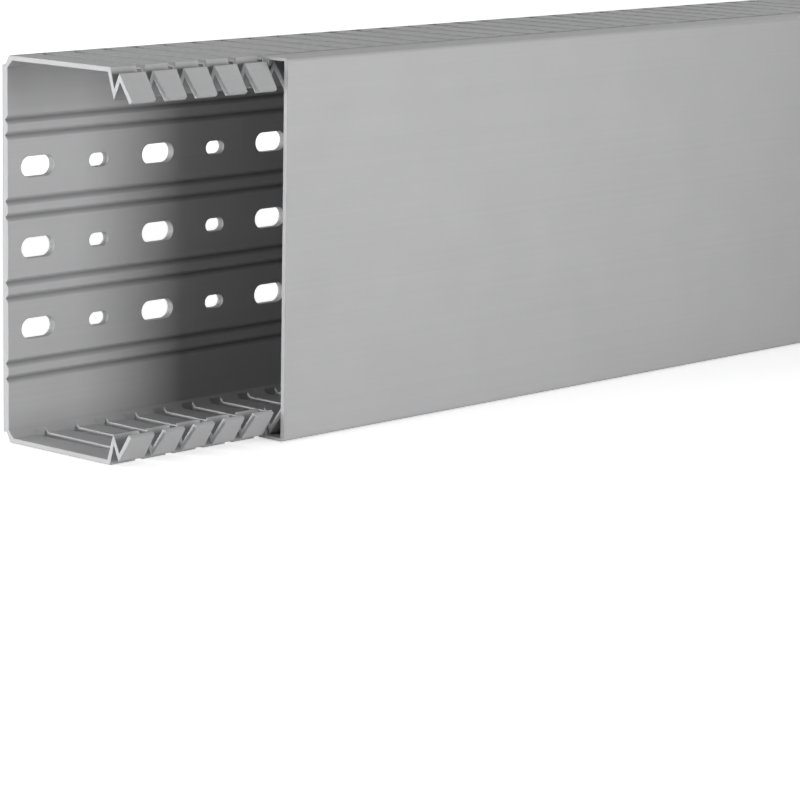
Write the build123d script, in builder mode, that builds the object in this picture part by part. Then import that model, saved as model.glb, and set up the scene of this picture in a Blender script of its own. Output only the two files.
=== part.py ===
"""Slotted wire duct with its clip-on cover, of the size sold as 60 by 120 mm, as a 500 mm length.

The duct stands on its lower slotted wall. X runs along the duct, -Y is the covered front, +Y is the back
that goes against a wall or a panel, and Z is up. The origin is in the middle of the footprint, on the floor.
Sections are drawn in two measures: how far a point is in front of the duct's back, and how far it is above
mid height. Sizes are in millimetres.
"""

import os

from build123d import *

# Overall sizes
length = 500.0
depth = 60.0
width = 119.0
cover_setback = 62.0

# Back plate, which stands out behind the walls as a narrow plinth
base_thickness = 2.5
plinth_height = 1.4
plinth_inset = 3.0
ledge_rise = 1.8
inner_corner = 2.2

# Scored lines in the back plate, in pairs between the hole rows
score_width = 2.6
score_depth = 1.2
score_pair_gap = 4.8
score_pair_spacing = 25.0
score_pair_count = 4

# Fixing holes in the back plate, long ones and short ones by turns
hole_row_spacing = 25.0
hole_row_count = 3
hole_pitch = 25.0
first_hole = 12.0
long_hole_length = 13.5
long_hole_width = 6.4
short_hole_length = 8.0
short_hole_width = 4.3

# Walls, cut into fingers by wire slots that narrow to a neck at the folded tips and flare at the mouth
wall_thickness = 1.5
finger_pitch = 12.5
first_slot = 11.8
slot_root_width = 5.0
slot_neck_width = 3.1
slot_mouth_width = 4.8
slot_root_height = 0.8

# Folded tip of each finger, along the middle of its wall: down into a groove, up to an apex, down to a lip
groove_run = 2.1
groove_depth = 8.7
apex_run = 2.4
lip_run = 4.9
lip_depth = 9.9
fold_reach = 1.0

# Cover
cover_thickness = 1.6
cover_inset = 0.2
cover_corner_radius = 1.3
flange_thickness = 1.0
catch_reach = 3.0
cover_clearance = 0.3

# How far a cutting shape runs past the material
run_out = 2.0

# Places worked out from the sizes above
half_width = width / 2
overall_length = length + cover_setback
base_left = -overall_length / 2
cover_left = base_left + cover_setback
slot_count = int((length - first_slot) / finger_pitch) + 1
hole_count = int((length - 2 * first_hole) / hole_pitch) + 1
cover_half = half_width - cover_inset
cover_inside = depth - cover_thickness
flange_inside = cover_half - flange_thickness
fold_room = wall_thickness / 2 + cover_clearance


def section_point(front, above):
    """Place of a point of the section, in the plane across the duct."""
    return Vector(depth / 2 - front, half_width + above)


def fold_tip(before, corner, after, reach):
    """Outside point of a sharp fold, at a given reach along its bisector."""
    return corner + ((corner - before).normalized() + (corner - after).normalized()).normalized() * reach


def folded_strip(points, thickness, reach):
    """Outline of a thin wall along a folded line; the outside of a sharp fold ends at a given reach."""
    half = thickness / 2
    runs = [(end - start).normalized() for start, end in zip(points, points[1:])]
    sides = [Vector(-run.Y, run.X) * half for run in runs]
    left = [points[0] + sides[0]]
    right = [points[0] - sides[0]]
    for before, corner, after, side_in, side_out in zip(points, points[1:], points[2:], sides, sides[1:]):
        turns_left = side_in.cross(side_out).Z > 0
        inside, outside, sign = (left, right, 1) if turns_left else (right, left, -1)
        miter = half**2 / (half**2 + side_in.dot(side_out))
        shift = (side_in + side_out) * miter * sign
        is_sharp = side_in.dot(side_out) < 0
        inside.append(corner + shift)
        outside.append(fold_tip(before, corner, after, reach) if is_sharp else corner - shift)
    left.append(points[-1] + sides[-1])
    right.append(points[-1] - sides[-1])
    return left + right[::-1]


def beside_run(start, end, shift, above):
    """Point at a given height on the line beside a straight run, shifted towards the front."""
    run = (end - start).normalized()
    side = Vector(-run.Y, run.X) if run.Y > 0 else Vector(run.Y, -run.X)
    origin = start + side * shift
    target = half_width + above
    return origin + run * ((target - origin.Y) / run.Y)


def mid_height():
    """Plane that halves the section."""
    return Plane.XZ.offset(-half_width)


# Section of the trough above mid height: the plate, the stepped corner and the wall with its folded tip
plinth_half = half_width - plinth_inset
ledge_front = plinth_height + ledge_rise
corner_front = base_thickness + inner_corner
wall_inside = half_width - wall_thickness
wall_middle = half_width - wall_thickness / 2
corner_outline = [
    section_point(plinth_height, 0),
    section_point(plinth_height, plinth_half),
    section_point(ledge_front, half_width),
    section_point(corner_front, half_width),
    section_point(corner_front, wall_inside),
    section_point(base_thickness, wall_inside - inner_corner),
    section_point(base_thickness, 0),
]
wall_foot = section_point(ledge_front, wall_middle)
lip_front = cover_inside - fold_room
apex_front = lip_front - lip_run
groove_front = apex_front - apex_run
hook = section_point(groove_front - groove_run, wall_middle)
groove = section_point(groove_front, half_width - groove_depth)
apex = section_point(apex_front, flange_inside - cover_clearance - fold_reach)
lip = section_point(lip_front, half_width - lip_depth)
wall_outline = folded_strip([wall_foot, hook, groove, apex, lip], wall_thickness, fold_reach)

score_rows = [
    (pair - (score_pair_count - 1) / 2) * score_pair_spacing + side * score_pair_gap / 2
    for pair in range(score_pair_count)
    for side in (-1, 1)
]
hole_rows = [(row - (hole_row_count - 1) / 2) * hole_row_spacing for row in range(hole_row_count)]
hole_columns = [base_left + first_hole + column * hole_pitch for column in range(hole_count)]
slot_centres = [base_left + first_slot + slot * finger_pitch for slot in range(slot_count)]
slot_root = depth / 2 - base_thickness - slot_root_height
slot_neck = fold_tip(groove, apex, lip, fold_reach).X
slot_mouth = depth / 2 - cover_inside

with BuildPart() as duct_base:
    with BuildSketch(Plane.YZ.offset(base_left)):
        with Locations(section_point(base_thickness / 2, plinth_half / 2)):
            Rectangle(base_thickness, plinth_half)
        for outline in (corner_outline, wall_outline):
            with BuildLine():
                Polyline(*outline, close=True)
            make_face()
        mirror(about=mid_height())
        for row in score_rows:
            with BuildLine():
                Polyline(
                    section_point(base_thickness, row - score_width / 2),
                    section_point(base_thickness - score_depth, row),
                    section_point(base_thickness, row + score_width / 2),
                    close=True,
                )
            make_face(mode=Mode.SUBTRACT)
    extrude(amount=length)

    # Wire slots through both walls; the last one is cut open by the end
    with BuildSketch(Plane.XY.offset(-run_out)):
        with Locations([(centre, 0) for centre in slot_centres]):
            Polygon(
                (-slot_root_width / 2, slot_root),
                (-slot_neck_width / 2, slot_neck),
                (-slot_mouth_width / 2, slot_mouth),
                (slot_mouth_width / 2, slot_mouth),
                (slot_neck_width / 2, slot_neck),
                (slot_root_width / 2, slot_root),
                align=None,
            )
    extrude(amount=width + 2 * run_out, mode=Mode.SUBTRACT)

    # Fixing holes through the back plate
    with BuildSketch(Plane.XZ.offset(-depth / 2 - run_out)):
        with Locations([(column, half_width + row) for column in hole_columns[::2] for row in hole_rows]):
            SlotOverall(long_hole_length, long_hole_width)
        with Locations([(column, half_width + row) for column in hole_columns[1::2] for row in hole_rows]):
            SlotOverall(short_hole_length, short_hole_width)
    extrude(amount=base_thickness + 2 * run_out, mode=Mode.SUBTRACT)

# Section of the cover above mid height: the plate, the flange and the catch that fills the fingers' groove
catch_tip = cover_half - catch_reach
cover_outline = [
    section_point(depth, 0),
    section_point(depth, cover_half),
    beside_run(hook, groove, fold_room, cover_half),
    beside_run(hook, groove, fold_room, catch_tip),
    beside_run(groove, apex, -fold_room, catch_tip),
    beside_run(groove, apex, -fold_room, flange_inside),
    section_point(cover_inside, flange_inside),
    section_point(cover_inside, 0),
]

with BuildPart() as duct_cover:
    with BuildSketch(Plane.YZ.offset(cover_left)) as cover_section:
        with BuildLine():
            Polyline(*cover_outline, close=True)
        make_face()
        mirror(about=mid_height())
        front_corners = cover_section.vertices().group_by(Axis.X)[0]
        fillet(front_corners, radius=cover_corner_radius)
    extrude(amount=length)

duct_base.part.label = "duct_base"
duct_cover.part.label = "duct_cover"

os.makedirs("parts", exist_ok=True)
export_step(duct_base.part, "parts/duct_base.step")
export_step(duct_cover.part, "parts/duct_cover.step")
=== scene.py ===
"""Dresses the slotted wire duct: satin grey plastic, soft edges, soft studio light and the photo's camera.

Lengths are in metres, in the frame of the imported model.
"""

import math

import bpy
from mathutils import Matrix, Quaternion, Vector

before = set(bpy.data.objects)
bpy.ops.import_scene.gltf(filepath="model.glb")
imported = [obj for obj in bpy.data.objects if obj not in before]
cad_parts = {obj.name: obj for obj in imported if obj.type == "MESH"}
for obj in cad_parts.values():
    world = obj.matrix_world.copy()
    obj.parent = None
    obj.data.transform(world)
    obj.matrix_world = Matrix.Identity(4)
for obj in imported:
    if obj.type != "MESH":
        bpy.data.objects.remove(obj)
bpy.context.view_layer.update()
scene = bpy.context.scene

# Colours of the plastic, and how far they vary
DUCT_GREY = (0.42, 0.421, 0.427)
COVER_GREY = (0.44, 0.441, 0.447)
STREAK_SPREAD = 0.05
MOTTLE_SPREAD = 0.05

# Noises in the plastic: how fine they are, along each axis or all round, in features to a metre
STREAK_DENSITY = (3.0, 700.0, 700.0)
MOTTLE_DENSITY = 45.0
GRAIN_DENSITY = 1600.0

# Gloss and relief of the plastic
PLASTIC_IOR = 1.5
PLASTIC_SPECULAR = 0.12
ROUGHNESS_LOW = 0.44
ROUGHNESS_HIGH = 0.6
STREAK_HEIGHT = 0.00006
STREAK_STRENGTH = 0.35
GRAIN_HEIGHT = 0.00003
GRAIN_STRENGTH = 0.2
EDGE_RADIUS = 0.00045
EDGE_SAMPLES = 6

# Painted highlight on the punched faces, which look along the duct and lie between its sawn ends: how much
# paler they are painted
HIGHLIGHT_LIFT = 1.3
ACROSS_START = 0.6
ACROSS_FULL = 0.95
SAWN_SHARE = 0.0005
PUNCHED_SHARE = 0.002
MIDDLE_SHARE = 0.5

# Painted shade in the scored lines of the back plate, on faces that look to the front: how much darker they
# are painted at the bottom
SCORE_SHADE = 0.45
SCORE_TOP = 0.0276
SCORE_BOTTOM = 0.0287
FRONTAL_START = -0.3
FRONTAL_FULL = -0.6

# Floor and surroundings; the floor's glow, as the camera sees it, grows away from the object
WHITE = (1.0, 1.0, 1.0, 1.0)
AMBIENT = 0.03
FLOOR_PALE = (0.8, 0.8, 0.8, 1.0)
FLOOR_SIZE = 12.0
FLOOR_DROP = 0.0002
GLOW_NEAR = 0.6
GLOW_FAR = 1.0
GLOW_START = 0.35
GLOW_END = 0.9

# Points that the lamps look at: past the duct's open end, near that end, and near the far end
PAST_POINT = (-0.58, 0.0, 0.06)
NEAR_POINT = (-0.2, 0.0, 0.06)
FAR_POINT = (0.25, 0.0, 0.06)

# Camera, found from the grid of holes in the back plate
CAMERA_PLACE = (-0.97993, -0.7876, 0.22044)
CAMERA_AIM = (0.71853, 0.66937, -0.18881)
CAMERA_ROLL = math.radians(0.981)
CAMERA_LENS = 159.44
CAMERA_SENSOR = 36.0
CAMERA_CLIP = 0.01


def fill(tree, socket, source):
    """Sets a socket to a value, or links it to another node's output."""
    if isinstance(source, bpy.types.NodeSocket):
        tree.links.new(source, socket)
    else:
        socket.default_value = source


def add_node(tree, kind, **inputs):
    """New node of a shader tree, with its named inputs filled."""
    node = tree.nodes.new(kind)
    for name, source in inputs.items():
        fill(tree, node.inputs[name.replace("_", " ")], source)
    return node


def calculate(tree, operation, *sources):
    """Result of a mathematical operation on values or other nodes' outputs."""
    node = tree.nodes.new("ShaderNodeMath")
    node.operation = operation
    for socket, source in zip(node.inputs, sources):
        fill(tree, socket, source)
    return node.outputs["Value"]


def remap(tree, value, start, end, low, high):
    """Result that goes from low to high while the value goes from start to end, and no further."""
    node = add_node(tree, "ShaderNodeMapRange", Value=value, From_Min=start, From_Max=end)
    fill(tree, node.inputs["To Min"], low)
    fill(tree, node.inputs["To Max"], high)
    return node.outputs["Result"]


def noise(tree, vector, density, detail, roughness):
    """Noise from 0 to 1 at the points that a vector gives."""
    node = add_node(tree, "ShaderNodeTexNoise", Vector=vector, Scale=density)
    node.inputs["Detail"].default_value = detail
    node.inputs["Roughness"].default_value = roughness
    return node.outputs["Fac"]


def split(tree, vector):
    """The X, Y and Z of a vector."""
    return add_node(tree, "ShaderNodeSeparateXYZ", Vector=vector).outputs


def seen_directly(tree):
    """1 for what the camera sees, also by reflection or through something clear, and 0 for other light."""
    rays = add_node(tree, "ShaderNodeLightPath").outputs
    seen = calculate(tree, "MAXIMUM", rays["Is Camera Ray"], rays["Is Glossy Ray"])
    return calculate(tree, "MAXIMUM", seen, rays["Is Transmission Ray"])


def plastic_tone(tree, spot, streaks, mottle):
    """Factor on the plastic's grey: lines, mottling, a painted highlight on the punched faces and painted
    shade in the scored lines.
    """
    streak_tone = remap(tree, streaks, 0.0, 1.0, 1 - STREAK_SPREAD, 1 + STREAK_SPREAD)
    mottle_tone = remap(tree, mottle, 0.0, 1.0, 1 - MOTTLE_SPREAD, 1 + MOTTLE_SPREAD)
    facing = split(tree, add_node(tree, "ShaderNodeNewGeometry").outputs["True Normal"])

    # painted highlight: faces that look along the duct, away from the sawn ends, are made paler
    share_along = split(tree, spot["Generated"])["X"]
    share_from_end = calculate(tree, "PINGPONG", share_along, MIDDLE_SHARE)
    highlight_lift = remap(tree, share_from_end, SAWN_SHARE, PUNCHED_SHARE, 1.0, HIGHLIGHT_LIFT)
    across = calculate(tree, "ABSOLUTE", facing["X"])
    painted_highlight_tone = remap(tree, across, ACROSS_START, ACROSS_FULL, 1.0, highlight_lift)

    # painted shade: darker deeper into the scored lines, on faces that look to the front
    groove_shade = remap(tree, split(tree, spot["Object"])["Y"], SCORE_TOP, SCORE_BOTTOM, 0.0, SCORE_SHADE)
    frontal = remap(tree, facing["Y"], FRONTAL_START, FRONTAL_FULL, 0.0, 1.0)
    shade = calculate(tree, "MULTIPLY", groove_shade, frontal)
    painted_score_shade = calculate(tree, "SUBTRACT", 1.0, shade)

    tone = streak_tone
    for factor in (mottle_tone, painted_highlight_tone, painted_score_shade):
        tone = calculate(tree, "MULTIPLY", tone, factor)
    return tone


def plastic(name, grey):
    """Satin extruded plastic with lines along the duct, faint mottling, a fine grain and softened edges."""
    material = bpy.data.materials.new(name)
    material.use_nodes = True
    tree = material.node_tree
    shader = tree.nodes["Principled BSDF"]
    shader.inputs["IOR"].default_value = PLASTIC_IOR
    shader.inputs["Specular IOR Level"].default_value = PLASTIC_SPECULAR

    spot = add_node(tree, "ShaderNodeTexCoord").outputs
    drawn_out = add_node(tree, "ShaderNodeMapping", Vector=spot["Object"], Scale=STREAK_DENSITY)
    streaks = noise(tree, drawn_out.outputs["Vector"], 1.0, detail=4.0, roughness=0.6)
    mottle = noise(tree, spot["Object"], MOTTLE_DENSITY, detail=5.0, roughness=0.55)
    grain = noise(tree, spot["Object"], GRAIN_DENSITY, detail=2.0, roughness=0.5)

    colour = add_node(tree, "ShaderNodeVectorMath", Vector=grey)
    colour.operation = "SCALE"
    fill(tree, colour.inputs["Scale"], plastic_tone(tree, spot, streaks, mottle))
    fill(tree, shader.inputs["Base Color"], colour.outputs["Vector"])
    fill(tree, shader.inputs["Roughness"], remap(tree, mottle, 0.0, 1.0, ROUGHNESS_LOW, ROUGHNESS_HIGH))

    edges = add_node(tree, "ShaderNodeBevel", Radius=EDGE_RADIUS)
    edges.samples = EDGE_SAMPLES
    lines = add_node(tree, "ShaderNodeBump", Strength=STREAK_STRENGTH, Distance=STREAK_HEIGHT)
    fill(tree, lines.inputs["Height"], streaks)
    fill(tree, lines.inputs["Normal"], edges.outputs["Normal"])
    relief = add_node(tree, "ShaderNodeBump", Strength=GRAIN_STRENGTH, Distance=GRAIN_HEIGHT)
    fill(tree, relief.inputs["Height"], grain)
    fill(tree, relief.inputs["Normal"], lines.outputs["Normal"])
    fill(tree, shader.inputs["Normal"], relief.outputs["Normal"])
    return material


def dress(node, material):
    """Gives a CAD node its material."""
    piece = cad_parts[node]
    piece.data.materials.clear()
    piece.data.materials.append(material)


def floor_paper():
    """Pale floor that takes shadows and is white to the camera where none falls."""
    material = bpy.data.materials.new("floor")
    material.use_nodes = True
    tree = material.node_tree
    tree.nodes.clear()
    spot = add_node(tree, "ShaderNodeTexCoord").outputs
    reach = add_node(tree, "ShaderNodeVectorMath", Vector=spot["Object"])
    reach.operation = "LENGTH"
    level = remap(tree, reach.outputs["Value"], GLOW_START, GLOW_END, GLOW_NEAR, GLOW_FAR)
    strength = calculate(tree, "MULTIPLY", seen_directly(tree), level)
    paper = add_node(tree, "ShaderNodeBsdfDiffuse", Color=FLOOR_PALE)
    glow = add_node(tree, "ShaderNodeEmission", Strength=strength)
    both = tree.nodes.new("ShaderNodeAddShader")
    tree.links.new(paper.outputs["BSDF"], both.inputs[0])
    tree.links.new(glow.outputs["Emission"], both.inputs[1])
    add_node(tree, "ShaderNodeOutputMaterial", Surface=both.outputs["Shader"])
    return material


def area_light(name, place, target, size, power):
    """Soft light of a given width and height that looks at a point."""
    data = bpy.data.lights.new(name, "AREA")
    data.shape = "RECTANGLE"
    data.size, data.size_y = size
    data.energy = power
    lamp = bpy.data.objects.new(name, data)
    scene.collection.objects.link(lamp)
    lamp.location = place
    lamp.rotation_euler = (Vector(target) - Vector(place)).to_track_quat("-Z", "Y").to_euler()


# The duct's two pieces
dress("duct_base", plastic("duct_plastic", DUCT_GREY))
dress("duct_cover", plastic("cover_plastic", COVER_GREY))

# Floor
bpy.ops.mesh.primitive_plane_add(size=FLOOR_SIZE, location=(0.0, 0.0, -FLOOR_DROP))
floor = bpy.context.object
floor.name = "floor"
floor.data.materials.append(floor_paper())

# Surroundings: white to the camera, and a little light from all round
world = bpy.data.worlds.new("studio")
scene.world = world
world.use_nodes = True
sky = world.node_tree.nodes["Background"]
sky.inputs["Color"].default_value = WHITE
sky_level = remap(world.node_tree, seen_directly(world.node_tree), 0.0, 1.0, AMBIENT, 1.0)
fill(world.node_tree, sky.inputs["Strength"], sky_level)

# Lamps: in front, beyond the open end, overhead, behind and beyond the far end
area_light("front", place=(-0.15, -0.67, 0.15), target=PAST_POINT, size=(0.54, 0.28), power=3.65)
area_light("end", place=(-1.2, 0.02, 0.09), target=NEAR_POINT, size=(0.25, 0.16), power=8.2)
area_light("top", place=(-0.7, 0.1, 1.0), target=NEAR_POINT, size=(0.8, 0.8), power=2.9)
area_light("back", place=(-0.75, 1.2, 0.35), target=NEAR_POINT, size=(1.0, 0.6), power=9.0)
area_light("far", place=(1.0, 0.25, 0.55), target=FAR_POINT, size=(0.4, 0.4), power=4.0)

# Camera
camera_data = bpy.data.cameras.new("camera")
camera_data.lens = CAMERA_LENS
camera_data.sensor_width = CAMERA_SENSOR
camera_data.clip_start = CAMERA_CLIP
camera = bpy.data.objects.new("camera", camera_data)
scene.collection.objects.link(camera)
camera.location = CAMERA_PLACE
camera.rotation_mode = "QUATERNION"
camera.rotation_quaternion = Vector(CAMERA_AIM).to_track_quat("-Z", "Y") @ Quaternion((0, 0, 1), CAMERA_ROLL)
scene.camera = camera

scene.view_settings.view_transform = "Standard"
